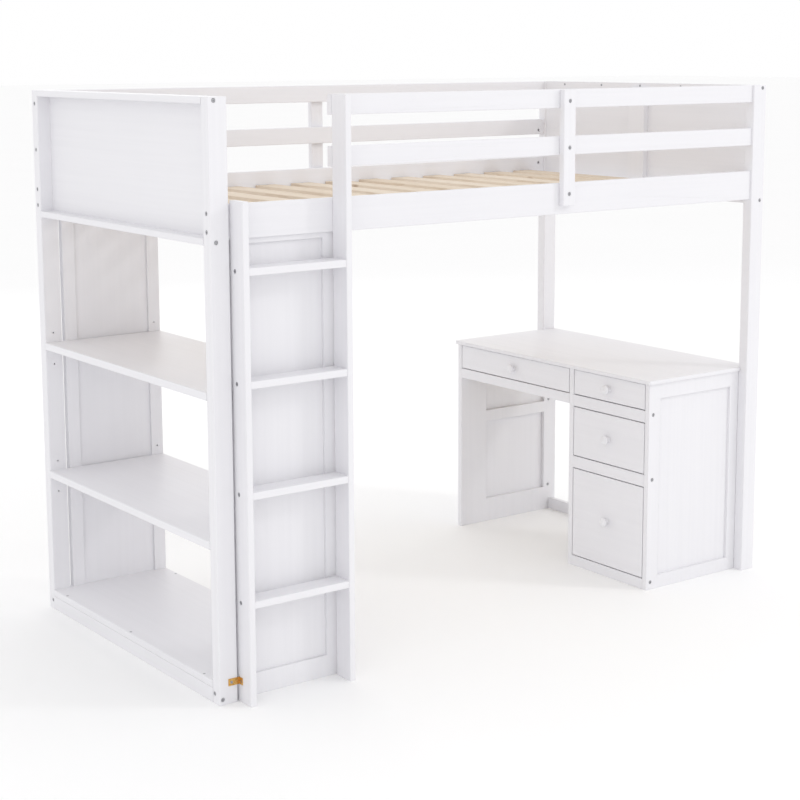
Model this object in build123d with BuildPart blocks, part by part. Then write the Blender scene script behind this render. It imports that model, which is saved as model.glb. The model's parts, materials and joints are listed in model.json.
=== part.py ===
from build123d import *
from itertools import product
import os

# A loft bed: a sleeping deck on four posts, a ladder and a shelf unit at the left end, and a desk with
# four drawers at the right end, facing left. All sizes are in millimetres.
# X runs along the bed from the shelf end to the desk end, Y runs from the ladder side to the back,
# and Z runs up from the floor. The origin is on the floor under the middle of the whole bed.

# ---------------------------------------------------------------- driving dimensions

# Whole bed, over the posts
BED_LENGTH = 2030
BED_WIDTH = 1030
BED_HEIGHT = 1580

# Posts: section along the bed and across it
POST_LENGTH = 55
POST_DEPTH = 35
POST_EASE = 3
POST_TOP_EASE = 2
EDGE_EASE = 2.5
BOARD_EASE = 1.5

# Rails along the bed. A pair of heights is the bottom and the top edge.
RAIL_THICKNESS = 20
SIDE_RAIL_HEIGHTS = (1220, 1310)
GUARD_MID_HEIGHTS = (1391, 1445)
GUARD_TOP_HEIGHTS = (1526, 1580)
SIDE_BOLT_HEIGHTS = (1242, 1289)
GUARD_MID_BOLT_HEIGHT = 1406
GUARD_TOP_BOLT_HEIGHT = 1541

# Upright balusters on the outer faces of the guards
BALUSTER_WIDTH = 45
BALUSTER_THICKNESS = 20
BALUSTER_HEIGHTS = (1245, 1578)
BALUSTER_BOLT_HEIGHTS = (1279, 1413, 1547)
FRONT_BALUSTER_FROM_LEFT = 1190
REAR_BALUSTER_FROM_LEFT = 1004

# Headboard and footboard
END_RAIL_WIDTH = 40
END_RAIL_THICKNESS = 18
END_BOTTOM_HEIGHT = 1207
PANEL_THICKNESS = 12
END_BOLT_INSET = 17
PANEL_SCREWS = 5
PANEL_SCREW_INSET = 100
BATTEN_WIDTH = 76
BATTEN_THICKNESS = 20
BATTEN_OFF_CENTRE = -3
PANEL_JOINT_GAP = 1

# Slats and the cleats that carry them
SLAT_COUNT = 14
SLAT_PITCH = 135
SLAT_WIDTH = 75
SLAT_THICKNESS = 18
SLAT_END_GAP = 2
FIRST_SLAT_FROM_LEFT = 112.5
CLEAT_TOP = 1247
CLEAT_THICKNESS = 20
CLEAT_END_INSET = 90
CLEAT_SCREWS = 6
CLEAT_SCREW_INSET = 80

# Ladder
STILE_THICKNESS = 18
STILE_DEPTH = 65
LEFT_STILE_FROM_LEFT = 61
RIGHT_STILE_FROM_LEFT = 375
LEFT_STILE_TOP = 1320
STEP_BOTTOMS = (262, 552, 842, 1132)
STEP_THICKNESS = 20
STEP_SETBACK = 2
STEP_BOLT_FROM_BACK = 22
LEFT_STILE_SCREW_HEIGHTS = (1228, 1265)
RIGHT_STILE_SCREW_HEIGHTS = (1258, 1292)

# Angle bracket between the front left post and the ladder
BRACKET_HEIGHTS = (49, 68)
BRACKET_THICKNESS = 2
BRACKET_POST_LEG = 34
BRACKET_STILE_LEG = 17
BRACKET_POST_SCREW_INSET = 9
BRACKET_STILE_SCREW_INSET = 6

# Shelf unit
UNIT_WIDTH = 388
UNIT_POST_GAP = 10
FRAME_THICKNESS = 20
UNIT_STILE_WIDTH = 40
UNIT_BOTTOM_RAIL = 60
UNIT_TOP_RAIL = 14
INFILL_THICKNESS = 6
INFILL_RECESS = 8
TONGUE = 8
SHELF_THICKNESS = 22
UPPER_SHELF_BOTTOM = 807
LOWER_SHELF_BOTTOM = 413
BOTTOM_BOARD_HEIGHTS = (40, 60)
SKIRT_THICKNESS = 20
SKIRT_BOLT_HEIGHT = 15
UNIT_BOLT_HEIGHT = 27
BOARD_SCREW_INSET = 8
BOARD_SCREWS_FROM_FRONT = (93, 509, 919)
PIN_RADIUS = 2.5
PIN_HOLE_DEPTH = 10
PIN_REACH = 11
PIN_END_PLAY = 0.5
POST_PIN_FROM_LEFT = 27
FRAME_PIN_FROM_LEFT = 367
SPARE_PIN_DROP = 42.5
SPARE_PIN_RISE = 52.5
PIN_SIDE_PLAY = 0.05

# Desk
DESK_TOP_HEIGHTS = (663, 675)
DESK_TOP_FROM_LEFT = 1568
DESK_TOP_SIDE_OVERHANG = 8
DESK_TOP_NOTCH_GAP = 2
DESK_TOP_CORNER = 6
DESK_TOP_EASE = 1.5
DESK_FRONT_FROM_LEFT = 1576
DESK_BACK_FROM_LEFT = 2020
REAR_SIDE_THICKNESS = 20
REAR_SIDE_FRONT_STILE = 114
REAR_SIDE_BACK_STILE = 55
REAR_SIDE_RAILS = ((0, 84), (370, 410), (580, 663))
REAR_SIDE_INFILL_SETBACK = 13
REAR_SIDE_INFILL_THICKNESS = 5
OUTER_SIDE_THICKNESS = 18
OUTER_SIDE_FRONT_STILE = 49
OUTER_SIDE_BACK_STILE = 82
OUTER_SIDE_RAILS = ((0, 43), (614, 663))
DIVIDER_FROM_FRONT = (385, 405)
FRONT_RAIL_DEPTH = 36
PEDESTAL_RAILS = ((0, 34), (333, 372), (539, 577))
APRON_HEIGHTS = (544, 577)
PEDESTAL_BACK_FROM_LEFT = (1996, 2008)
STRETCHER_FROM_LEFT = (1990, 2008)
STRETCHER_TOP = 40
DESK_POST_BOLT_INSET = 44
DESK_FRONT_SIDE_BOLT_HEIGHTS = (24, 357, 565)
DESK_REAR_SIDE_BOLT_HEIGHTS = (560,)
DESK_POST_BOLT_HEIGHTS = (92, 416)

# Drawers: bottom and top edge of each front
TOP_DRAWER_HEIGHTS = (580, 660)
MIDDLE_DRAWER_HEIGHTS = (375, 536)
BOTTOM_DRAWER_HEIGHTS = (37, 330)
DRAWER_GAP = 3
DRAWER_EASE = 1.5
DRAWER_FRONT_THICKNESS = 18
DRAWER_BACK_FROM_LEFT = 1984
DRAWER_SIDE_THICKNESS = 12
DRAWER_SIDE_GAP = 2
DRAWER_TOP_DROP = 15
DRAWER_FLOOR_THICKNESS = 6
DRAWER_FLOOR_LIFT = 8
DRAWER_GROOVE = 5
RUNNER_WIDTH = 20
RUNNER_THICKNESS = 15
RUNNER_LIFT = 6
RUNNER_PLAY = 0.5
RUNNER_BACK_FROM_LEFT = 1990

# Knobs
KNOB_RADIUS = 15
KNOB_FOOT_RADIUS = 9
KNOB_NECK_RADIUS = 7
KNOB_NECK_REACH = 8
KNOB_REACH = 24
KNOB_HEAD_TURN = 150
KNOB_SCREW_RADIUS = 2
KNOB_SCREW_HOLE_RADIUS = 2.2
KNOB_SCREW_DEPTH = 11
KNOB_SCREW_HEAD_RADIUS = 4
KNOB_SCREW_HEAD = 2.5

# Bolts with flat round heads and hexagon sockets, and their barrel nuts
BOLT_RADIUS = 3
BOLT_HOLE_RADIUS = 3.25
HEAD_RADIUS = 5.5
HEAD_HOLE_RADIUS = 6
HEAD_THICKNESS = 2.5
HEAD_RECESS = 3
HEAD_EASE = 0.6
SOCKET_RADIUS = 2.3
SOCKET_DEPTH = 1.8
HOLE_END_GAP = 2
NUT_RADIUS = 5
NUT_HOLE_RADIUS = 5.2
NUT_LENGTH = 12
NUT_INSET = 25
NUT_BOLT_GAP = 0.1
BOLT_PAST_NUT = 1
BALUSTER_BOLT_LENGTH = 34
STEP_BOLT_LENGTH = 55
DESK_BOLT_LENGTH = 50
DESK_POST_BOLT_LENGTH = 40

# Countersunk wood screws
SCREW_RADIUS = 2
SCREW_HOLE_RADIUS = 2.1
SCREW_HEAD_RADIUS = 4
SCREW_HEAD_HOLE_RADIUS = 4.2
SCREW_LENGTH = 32
SCREW_POINT = 4
LONG_SCREW_LENGTH = 42
BRACKET_SCREW_LENGTH = 14
COUNTERSINK_ANGLE = 90
CROSS_HALF_WIDTH = 0.4
CROSS_HALF_LENGTH = 2
CROSS_DEPTH = 1.2

# ---------------------------------------------------------------- planes that the pieces share

LEFT, RIGHT = -1, 1
FRONT, REAR = -1, 1
END_NAMES = {LEFT: "left", RIGHT: "right"}
SIDE_NAMES = {FRONT: "front", REAR: "rear"}

half_length = BED_LENGTH / 2
rail_setback = (POST_DEPTH - RAIL_THICKNESS) / 2
ladder_reach = STILE_DEPTH - rail_setback
baluster_reach = BALUSTER_THICKNESS - rail_setback
front_face = ladder_reach - (ladder_reach + BED_WIDTH + baluster_reach) / 2
post_face = {FRONT: front_face, REAR: front_face + BED_WIDTH}
post_inner = {side: post_face[side] - side * POST_DEPTH for side in (FRONT, REAR)}
rail_outer = {side: post_face[side] - side * rail_setback for side in (FRONT, REAR)}
rail_inner = {side: rail_outer[side] - side * RAIL_THICKNESS for side in (FRONT, REAR)}
rail_middle = {side: (rail_outer[side] + rail_inner[side]) / 2 for side in (FRONT, REAR)}
rail_end = half_length - POST_LENGTH
long_bolt_length = POST_LENGTH - HEAD_RECESS + NUT_INSET + NUT_RADIUS + BOLT_PAST_NUT
short_bolt_length = POST_DEPTH - HEAD_RECESS + NUT_INSET + NUT_RADIUS + BOLT_PAST_NUT


def from_left(distance):
    """The x of a point at the given distance from the left end of the bed."""
    return distance - half_length


def from_front(distance):
    """The y of a point at the given distance behind the front faces of the front posts."""
    return post_face[FRONT] + distance


def spread(low, high, count):
    """Evenly spaced positions from low to high."""
    return [low + (high - low) * step / (count - 1) for step in range(count)]


# ---------------------------------------------------------------- shared steps of making a piece


def board(x, y, z, mode=Mode.ADD):
    """Adds a board between two x, two y and two z limits, each pair in any order."""
    with BuildSketch(Plane.XY.offset(min(z))) as outline:
        with Locations((sum(x) / 2, sum(y) / 2)):
            Rectangle(abs(x[1] - x[0]), abs(y[1] - y[0]))
    extrude(outline.sketch, amount=abs(z[1] - z[0]), mode=mode)


def save(piece, name):
    """Labels a finished piece and writes it to its own file."""
    piece.part.label = name
    export_step(piece.part, f"parts/{name}.step")


def save_glued(pieces, name):
    """Writes pieces that touch as separate solids of one file."""
    solids = [solid for piece in pieces for solid in piece.part.solids()]
    export_step(Compound(solids, label=name), f"parts/{name}.step")


def drill_for_bolts(seats, length):
    """Drills counterbored bolt holes inwards from the seats."""
    with Locations(*seats):
        CounterBoreHole(BOLT_HOLE_RADIUS, HEAD_HOLE_RADIUS, HEAD_RECESS, HEAD_RECESS + length + HOLE_END_GAP)


def drill_for_screws(seats, length):
    """Drills countersunk screw holes inwards from the seats."""
    with Locations(*seats):
        CounterSinkHole(SCREW_HOLE_RADIUS, SCREW_HEAD_HOLE_RADIUS, length + HOLE_END_GAP, COUNTERSINK_ANGLE)


def drill_for_nuts(mouths, half_thickness):
    """Drills the cross holes for barrel nuts inwards from their mouths."""
    with Locations(*mouths):
        Hole(NUT_HOLE_RADIUS, half_thickness + NUT_LENGTH / 2)


# ---------------------------------------------------------------- where the fasteners go


def along_seat(end, side, z, y=None):
    """Seat of a bolt that runs along the bed through a post."""
    return Plane(origin=(end * half_length, rail_middle[side] if y is None else y, z), z_dir=(end, 0, 0))


def across_seat(side, x, z):
    """Seat of a bolt that runs across the bed through a post."""
    return Plane(origin=(x, post_face[side], z), z_dir=(0, side, 0))


def along_mouth(seat, side, face_y):
    """Mouth of the barrel nut's hole for a bolt that runs along the bed."""
    end = seat.z_dir.X
    x = end * (rail_end - NUT_INSET)
    return Plane(origin=(x, face_y, seat.origin.Z), x_dir=(1, 0, 0), z_dir=(0, -side, 0))


def across_mouth(seat, normal, half_thickness):
    """Mouth of the barrel nut's hole for a bolt that runs across the bed."""
    side = seat.z_dir.Y
    on_axis = Vector(seat.origin.X, post_inner[side] - side * NUT_INSET, seat.origin.Z)
    return Plane(origin=on_axis + Vector(*normal) * half_thickness, x_dir=(0, 1, 0), z_dir=normal)


def seats_on_post(seats, end, side):
    """The seats that lie on one post."""
    return [seat for seat in seats if seat.origin.X * end > 0 and seat.origin.Y * side > 0]


# Bolts along the bed: side rails and rear guards at both ends, front guards at the right end only
side_rail_seats = {
    side: [along_seat(end, side, z) for end, z in product((LEFT, RIGHT), SIDE_BOLT_HEIGHTS)]
    for side in (FRONT, REAR)
}
guard_ends = {FRONT: (RIGHT,), REAR: (LEFT, RIGHT)}
guard_mid_seats = {
    side: [along_seat(end, side, GUARD_MID_BOLT_HEIGHT) for end in guard_ends[side]] for side in (FRONT, REAR)
}
guard_top_seats = {
    side: [along_seat(end, side, GUARD_TOP_BOLT_HEIGHT) for end in guard_ends[side]] for side in (FRONT, REAR)
}
unit_frame_outer = {side: post_inner[side] + side * FRAME_THICKNESS for side in (FRONT, REAR)}
unit_seats = {
    side: [along_seat(LEFT, side, UNIT_BOLT_HEIGHT, post_inner[side] + side * FRAME_THICKNESS / 2)]
    for side in (FRONT, REAR)
}
along_seats = [
    seat
    for side in (FRONT, REAR)
    for seat in side_rail_seats[side] + guard_mid_seats[side] + guard_top_seats[side] + unit_seats[side]
]

# Bolts across the bed: headboard, footboard and the skirt under the shelf unit
end_rail_middle = END_RAIL_THICKNESS / 2
end_top_z = BED_HEIGHT - end_rail_middle
end_bottom_z = END_BOTTOM_HEIGHT + end_rail_middle
end_bolt_x = half_length - END_BOLT_INSET


def end_rail_seats(end, z):
    """Seats of the two bolts that hold one rail of the headboard or the footboard."""
    return [across_seat(side, end * end_bolt_x, z) for side in (FRONT, REAR)]


end_top_seats = {end: end_rail_seats(end, end_top_z) for end in (LEFT, RIGHT)}
end_bottom_seats = {end: end_rail_seats(end, end_bottom_z) for end in (LEFT, RIGHT)}
skirt_seats = [across_seat(side, from_left(SKIRT_THICKNESS / 2), SKIRT_BOLT_HEIGHT) for side in (FRONT, REAR)]
end_seats = [seat for end in (LEFT, RIGHT) for seat in end_top_seats[end] + end_bottom_seats[end]]
across_seats = end_seats + skirt_seats

# Mouths of the barrel nuts' holes
rail_mouths = {
    side: {
        "side": [along_mouth(seat, side, rail_inner[side]) for seat in side_rail_seats[side]],
        "mid": [along_mouth(seat, side, rail_inner[side]) for seat in guard_mid_seats[side]],
        "top": [along_mouth(seat, side, rail_inner[side]) for seat in guard_top_seats[side]],
        "unit": [along_mouth(seat, side, post_inner[side]) for seat in unit_seats[side]],
    }
    for side in (FRONT, REAR)
}


def end_rail_mouths(seats):
    """Mouths of the barrel nuts' holes under a rail of the headboard or the footboard."""
    return [across_mouth(seat, (0, 0, -1), end_rail_middle) for seat in seats]


end_top_mouths = {end: end_rail_mouths(end_top_seats[end]) for end in (LEFT, RIGHT)}
end_bottom_mouths = {end: end_rail_mouths(end_bottom_seats[end]) for end in (LEFT, RIGHT)}
skirt_mouths = [across_mouth(seat, (1, 0, 0), SKIRT_THICKNESS / 2) for seat in skirt_seats]

# ---------------------------------------------------------------- where the screws and short bolts go

baluster_x = {FRONT: from_left(FRONT_BALUSTER_FROM_LEFT), REAR: from_left(REAR_BALUSTER_FROM_LEFT)}
baluster_seats = {
    side: [
        Plane(origin=(baluster_x[side], rail_outer[side] + side * BALUSTER_THICKNESS, z), z_dir=(0, side, 0))
        for z in BALUSTER_BOLT_HEIGHTS
    ]
    for side in (FRONT, REAR)
}

stile_start = {LEFT: from_left(LEFT_STILE_FROM_LEFT), RIGHT: from_left(RIGHT_STILE_FROM_LEFT)}
stile_middle = {end: stile_start[end] + STILE_THICKNESS / 2 for end in (LEFT, RIGHT)}
stile_outside = {LEFT: stile_start[LEFT], RIGHT: stile_start[RIGHT] + STILE_THICKNESS}
step_bolt_y = rail_outer[FRONT] - STEP_BOLT_FROM_BACK
step_seats = {
    end: [
        Plane(origin=(stile_outside[end], step_bolt_y, bottom + STEP_THICKNESS / 2), z_dir=(end, 0, 0))
        for bottom in STEP_BOTTOMS
    ]
    for end in (LEFT, RIGHT)
}


def stile_screw_seats(end, heights):
    """Seats of the screws that hold a ladder stile, on the inner face of a front rail."""
    return [Plane(origin=(stile_middle[end], rail_inner[FRONT], z), z_dir=(0, -FRONT, 0)) for z in heights]


stile_side_rail_seats = stile_screw_seats(LEFT, LEFT_STILE_SCREW_HEIGHTS) + stile_screw_seats(
    RIGHT, RIGHT_STILE_SCREW_HEIGHTS
)
stile_mid_seats = stile_screw_seats(RIGHT, [sum(GUARD_MID_HEIGHTS) / 2])
stile_top_seats = stile_screw_seats(RIGHT, [sum(GUARD_TOP_HEIGHTS) / 2])

cleat_inner = {side: rail_inner[side] - side * CLEAT_THICKNESS for side in (FRONT, REAR)}
cleat_ends = (from_left(CLEAT_END_INSET), half_length - CLEAT_END_INSET)
cleat_screw_z = (SIDE_RAIL_HEIGHTS[0] + CLEAT_TOP) / 2
cleat_seats = {
    side: [
        Plane(origin=(x, cleat_inner[side], cleat_screw_z), z_dir=(0, -side, 0))
        for x in spread(cleat_ends[0] + CLEAT_SCREW_INSET, cleat_ends[1] - CLEAT_SCREW_INSET, CLEAT_SCREWS)
    ]
    for side in (FRONT, REAR)
}

slat_top = CLEAT_TOP + SLAT_THICKNESS
slat_middles = [from_left(FIRST_SLAT_FROM_LEFT) + SLAT_PITCH * number for number in range(SLAT_COUNT)]
slat_screw_y = {side: (rail_inner[side] + cleat_inner[side]) / 2 for side in (FRONT, REAR)}
slat_seats = [
    Plane(origin=(x, slat_screw_y[side], slat_top), z_dir=(0, 0, 1))
    for x, side in product(slat_middles, (FRONT, REAR))
]

panel_outer = half_length - END_RAIL_WIDTH
panel_inner = panel_outer - PANEL_THICKNESS
panel_screw_ends = (post_inner[FRONT] + PANEL_SCREW_INSET, post_inner[REAR] - PANEL_SCREW_INSET)
panel_screw_y = spread(*panel_screw_ends, PANEL_SCREWS)


def panel_seats(end, z):
    """Seats of the screws that hold a headboard or footboard panel to one of its rails."""
    return [Plane(origin=(end * panel_inner, y, z), z_dir=(-end, 0, 0)) for y in panel_screw_y]


unit_right = from_left(UNIT_WIDTH)
skirt_starts = (-half_length, unit_right - SKIRT_THICKNESS)
board_screw_x = (-half_length + BOARD_SCREW_INSET, unit_right - BOARD_SCREW_INSET)
board_seats = [
    Plane(origin=(x, from_front(y), BOTTOM_BOARD_HEIGHTS[1]), z_dir=(0, 0, 1))
    for x, y in product(board_screw_x, BOARD_SCREWS_FROM_FRONT)
]

bracket_z = sum(BRACKET_HEIGHTS) / 2
bracket_left = stile_start[LEFT] - BRACKET_POST_LEG
bracket_front = post_face[FRONT] - BRACKET_STILE_LEG
bracket_post_seat = Plane(
    origin=(bracket_left + BRACKET_POST_SCREW_INSET, post_face[FRONT] - BRACKET_THICKNESS, bracket_z),
    z_dir=(0, FRONT, 0),
)
bracket_stile_seat = Plane(
    origin=(stile_start[LEFT] - BRACKET_THICKNESS, bracket_front + BRACKET_STILE_SCREW_INSET, bracket_z),
    z_dir=(LEFT, 0, 0),
)
bracket_seats = [bracket_post_seat, bracket_stile_seat]

desk_front = from_left(DESK_FRONT_FROM_LEFT)
desk_back = from_left(DESK_BACK_FROM_LEFT)
front_rail_middle = desk_front + FRONT_RAIL_DEPTH / 2
desk_side_bolt_heights = {FRONT: DESK_FRONT_SIDE_BOLT_HEIGHTS, REAR: DESK_REAR_SIDE_BOLT_HEIGHTS}
desk_side_seats = {
    side: [
        Plane(origin=(front_rail_middle, post_inner[side], z), z_dir=(0, side, 0))
        for z in desk_side_bolt_heights[side]
    ]
    for side in (FRONT, REAR)
}
desk_side_inner = {
    FRONT: post_inner[FRONT] + OUTER_SIDE_THICKNESS,
    REAR: post_inner[REAR] - REAR_SIDE_THICKNESS,
}
desk_post_seats = {
    side: [
        Plane(origin=(half_length - DESK_POST_BOLT_INSET, desk_side_inner[side], z), z_dir=(0, -side, 0))
        for z in DESK_POST_BOLT_HEIGHTS
    ]
    for side in (FRONT, REAR)
}

# ---------------------------------------------------------------- posts

unit_pin_rows = [
    bottom - PIN_RADIUS + offset
    for bottom in (LOWER_SHELF_BOTTOM, UPPER_SHELF_BOTTOM)
    for offset in (-SPARE_PIN_DROP, 0, SPARE_PIN_RISE)
]


def pin_hole_mouths(x, side):
    """Mouths of one column of shelf pin holes, in a face that looks into the shelf unit."""
    return [Plane(origin=(x, post_inner[side], z), z_dir=(0, -side, 0)) for z in unit_pin_rows]


for end, side in product((LEFT, RIGHT), (FRONT, REAR)):
    with BuildPart() as post:
        board((end * half_length, end * rail_end), (post_face[side], post_inner[side]), (0, BED_HEIGHT))
        fillet(post.edges().filter_by(Axis.Z), POST_EASE)
        fillet(post.faces().sort_by(Axis.Z)[-1].edges(), POST_TOP_EASE)
        drill_for_bolts(seats_on_post(along_seats, end, side), long_bolt_length)
        drill_for_bolts(seats_on_post(across_seats, end, side), short_bolt_length)
        if end == LEFT:
            with Locations(*pin_hole_mouths(from_left(POST_PIN_FROM_LEFT), side)):
                Hole(PIN_RADIUS, PIN_HOLE_DEPTH)
        if end == RIGHT:
            drill_for_bolts(desk_post_seats[side], DESK_POST_BOLT_LENGTH)
        if (end, side) == (LEFT, FRONT):
            drill_for_screws([bracket_post_seat], BRACKET_SCREW_LENGTH)
    save(post, f"post_{SIDE_NAMES[side]}_{END_NAMES[end]}")

# ---------------------------------------------------------------- side rails, guards and balusters

guard_start = {FRONT: stile_start[RIGHT], REAR: -rail_end}

for side in (FRONT, REAR):
    rail_y = (rail_outer[side], rail_inner[side])
    side_bolt, mid_bolt, top_bolt = baluster_seats[side]

    with BuildPart() as side_rail:
        board((-rail_end, rail_end), rail_y, SIDE_RAIL_HEIGHTS)
        fillet(side_rail.edges().filter_by(Axis.X), EDGE_EASE)
        drill_for_bolts(side_rail_seats[side], long_bolt_length)
        drill_for_nuts(rail_mouths[side]["side"], RAIL_THICKNESS / 2)
        drill_for_bolts([side_bolt], BALUSTER_BOLT_LENGTH)
        drill_for_screws(cleat_seats[side], SCREW_LENGTH)
        if side == FRONT:
            drill_for_screws(stile_side_rail_seats, LONG_SCREW_LENGTH)
    save(side_rail, f"side_rail_{SIDE_NAMES[side]}")

    with BuildPart() as mid_rail:
        board((guard_start[side], rail_end), rail_y, GUARD_MID_HEIGHTS)
        fillet(mid_rail.edges().filter_by(Axis.X), EDGE_EASE)
        drill_for_bolts(guard_mid_seats[side], long_bolt_length)
        drill_for_nuts(rail_mouths[side]["mid"], RAIL_THICKNESS / 2)
        drill_for_bolts([mid_bolt], BALUSTER_BOLT_LENGTH)
        if side == FRONT:
            drill_for_screws(stile_mid_seats, LONG_SCREW_LENGTH)
    save(mid_rail, f"guard_mid_rail_{SIDE_NAMES[side]}")

    with BuildPart() as top_rail:
        board((guard_start[side], rail_end), rail_y, GUARD_TOP_HEIGHTS)
        fillet(top_rail.edges().filter_by(Axis.X), EDGE_EASE)
        drill_for_bolts(guard_top_seats[side], long_bolt_length)
        drill_for_nuts(rail_mouths[side]["top"], RAIL_THICKNESS / 2)
        drill_for_bolts([top_bolt], BALUSTER_BOLT_LENGTH)
        if side == FRONT:
            drill_for_screws(stile_top_seats, LONG_SCREW_LENGTH)
    save(top_rail, f"guard_top_rail_{SIDE_NAMES[side]}")

    with BuildPart() as baluster:
        board(
            (baluster_x[side] - BALUSTER_WIDTH / 2, baluster_x[side] + BALUSTER_WIDTH / 2),
            (rail_outer[side], rail_outer[side] + side * BALUSTER_THICKNESS),
            BALUSTER_HEIGHTS,
        )
        fillet(baluster.edges().filter_by(Axis.Z), EDGE_EASE)
        drill_for_bolts(baluster_seats[side], BALUSTER_BOLT_LENGTH)
    save(baluster, f"guard_baluster_{SIDE_NAMES[side]}")

# ---------------------------------------------------------------- headboard and footboard

between_posts = (post_inner[FRONT], post_inner[REAR])
end_top_heights = (BED_HEIGHT - END_RAIL_THICKNESS, BED_HEIGHT)
end_bottom_heights = (END_BOTTOM_HEIGHT, END_BOTTOM_HEIGHT + END_RAIL_THICKNESS)
batten_middle = (post_inner[FRONT] + post_inner[REAR]) / 2 + BATTEN_OFF_CENTRE

for end, board_name in ((LEFT, "headboard"), (RIGHT, "footboard")):
    rail_x = (end * half_length, end * panel_outer)
    panel_x = (end * panel_outer, end * panel_inner)

    with BuildPart() as end_top_rail:
        board(rail_x, between_posts, end_top_heights)
        outer_face = end_top_rail.faces().sort_by(Axis.X, reverse=end == LEFT)[-1]
        fillet(outer_face.edges().filter_by(Axis.Y), EDGE_EASE)
        drill_for_bolts(end_top_seats[end], short_bolt_length)
        drill_for_nuts(end_top_mouths[end], end_rail_middle)
        drill_for_screws(panel_seats(end, end_top_z), SCREW_LENGTH)
    save(end_top_rail, f"{board_name}_top_rail")

    with BuildPart() as end_bottom_rail:
        board(rail_x, between_posts, end_bottom_heights)
        outer_face = end_bottom_rail.faces().sort_by(Axis.X, reverse=end == LEFT)[-1]
        fillet(outer_face.edges().filter_by(Axis.Y), EDGE_EASE)
        drill_for_bolts(end_bottom_seats[end], short_bolt_length)
        drill_for_nuts(end_bottom_mouths[end], end_rail_middle)
        drill_for_screws(panel_seats(end, end_bottom_z), SCREW_LENGTH)
    save(end_bottom_rail, f"{board_name}_bottom_rail")

    with BuildPart() as end_panel:
        board(panel_x, between_posts, (END_BOTTOM_HEIGHT, BED_HEIGHT))
        if end == RIGHT:
            joint_y = (batten_middle - PANEL_JOINT_GAP / 2, batten_middle + PANEL_JOINT_GAP / 2)
            board(panel_x, joint_y, (END_BOTTOM_HEIGHT, BED_HEIGHT), mode=Mode.SUBTRACT)
        drill_for_screws(panel_seats(end, end_top_z) + panel_seats(end, end_bottom_z), SCREW_LENGTH)
    save(end_panel, f"{board_name}_panel")

with BuildPart() as footboard_batten:
    board(
        (panel_inner, panel_inner - BATTEN_THICKNESS),
        (batten_middle - BATTEN_WIDTH / 2, batten_middle + BATTEN_WIDTH / 2),
        (SIDE_RAIL_HEIGHTS[0], BED_HEIGHT - END_RAIL_THICKNESS),
    )
    fillet(footboard_batten.faces().sort_by(Axis.X)[0].edges().filter_by(Axis.Z), EDGE_EASE)
save(footboard_batten, "footboard_batten")

# ---------------------------------------------------------------- cleats and slats

with BuildPart() as slat_cleats:
    for side in (FRONT, REAR):
        board(cleat_ends, (rail_inner[side], cleat_inner[side]), (SIDE_RAIL_HEIGHTS[0], CLEAT_TOP))
        drill_for_screws(cleat_seats[side], SCREW_LENGTH)
    drill_for_screws(slat_seats, SCREW_LENGTH)
save(slat_cleats, "slat_cleats")

with BuildPart() as slats:
    for x in slat_middles:
        board(
            (x - SLAT_WIDTH / 2, x + SLAT_WIDTH / 2),
            (rail_inner[FRONT] + SLAT_END_GAP, rail_inner[REAR] - SLAT_END_GAP),
            (CLEAT_TOP, slat_top),
        )
    fillet(slats.edges().filter_by(Axis.Y), EDGE_EASE)
    drill_for_screws(slat_seats, SCREW_LENGTH)
save(slats, "slats")

# ---------------------------------------------------------------- ladder

stile_y = (rail_outer[FRONT], rail_outer[FRONT] - STILE_DEPTH)
stile_top = {LEFT: LEFT_STILE_TOP, RIGHT: BED_HEIGHT}
stile_screws = {LEFT: stile_screw_seats(LEFT, LEFT_STILE_SCREW_HEIGHTS), RIGHT: []}
stile_screws[RIGHT] = stile_screw_seats(RIGHT, RIGHT_STILE_SCREW_HEIGHTS) + stile_mid_seats + stile_top_seats

for end in (LEFT, RIGHT):
    with BuildPart() as stile:
        board((stile_start[end], stile_start[end] + STILE_THICKNESS), stile_y, (0, stile_top[end]))
        fillet(stile.edges().filter_by(Axis.Z), EDGE_EASE)
        drill_for_bolts(step_seats[end], STEP_BOLT_LENGTH)
        drill_for_screws(stile_screws[end], LONG_SCREW_LENGTH)
        if end == LEFT:
            drill_for_screws([bracket_stile_seat], BRACKET_SCREW_LENGTH)
    save(stile, f"ladder_stile_{END_NAMES[end]}")

with BuildPart() as ladder_steps:
    for bottom in STEP_BOTTOMS:
        board(
            (stile_start[LEFT] + STILE_THICKNESS, stile_start[RIGHT]),
            (rail_outer[FRONT], rail_outer[FRONT] - STILE_DEPTH + STEP_SETBACK),
            (bottom, bottom + STEP_THICKNESS),
        )
    fillet(ladder_steps.edges().filter_by(Axis.X), EDGE_EASE)
    drill_for_bolts(step_seats[LEFT] + step_seats[RIGHT], STEP_BOLT_LENGTH)
save(ladder_steps, "ladder_steps")

with BuildPart() as ladder_bracket:
    board(
        (bracket_left, stile_start[LEFT]),
        (post_face[FRONT], post_face[FRONT] - BRACKET_THICKNESS),
        BRACKET_HEIGHTS,
    )
    board(
        (stile_start[LEFT] - BRACKET_THICKNESS, stile_start[LEFT]),
        (post_face[FRONT], bracket_front),
        BRACKET_HEIGHTS,
    )
    drill_for_screws(bracket_seats, BRACKET_SCREW_LENGTH)
save(ladder_bracket, "ladder_bracket")

# ---------------------------------------------------------------- shelf unit

unit_left = -rail_end + UNIT_POST_GAP
infill_x = (unit_left + UNIT_STILE_WIDTH - TONGUE, unit_right - UNIT_STILE_WIDTH + TONGUE)
infill_z = (UNIT_BOTTOM_RAIL - TONGUE, SIDE_RAIL_HEIGHTS[0] - UNIT_TOP_RAIL + TONGUE)
unit_infill_outer = {side: unit_frame_outer[side] - side * INFILL_RECESS for side in (FRONT, REAR)}
unit_infill_y = {
    side: (unit_infill_outer[side], unit_infill_outer[side] - side * INFILL_THICKNESS) for side in (FRONT, REAR)
}

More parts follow.
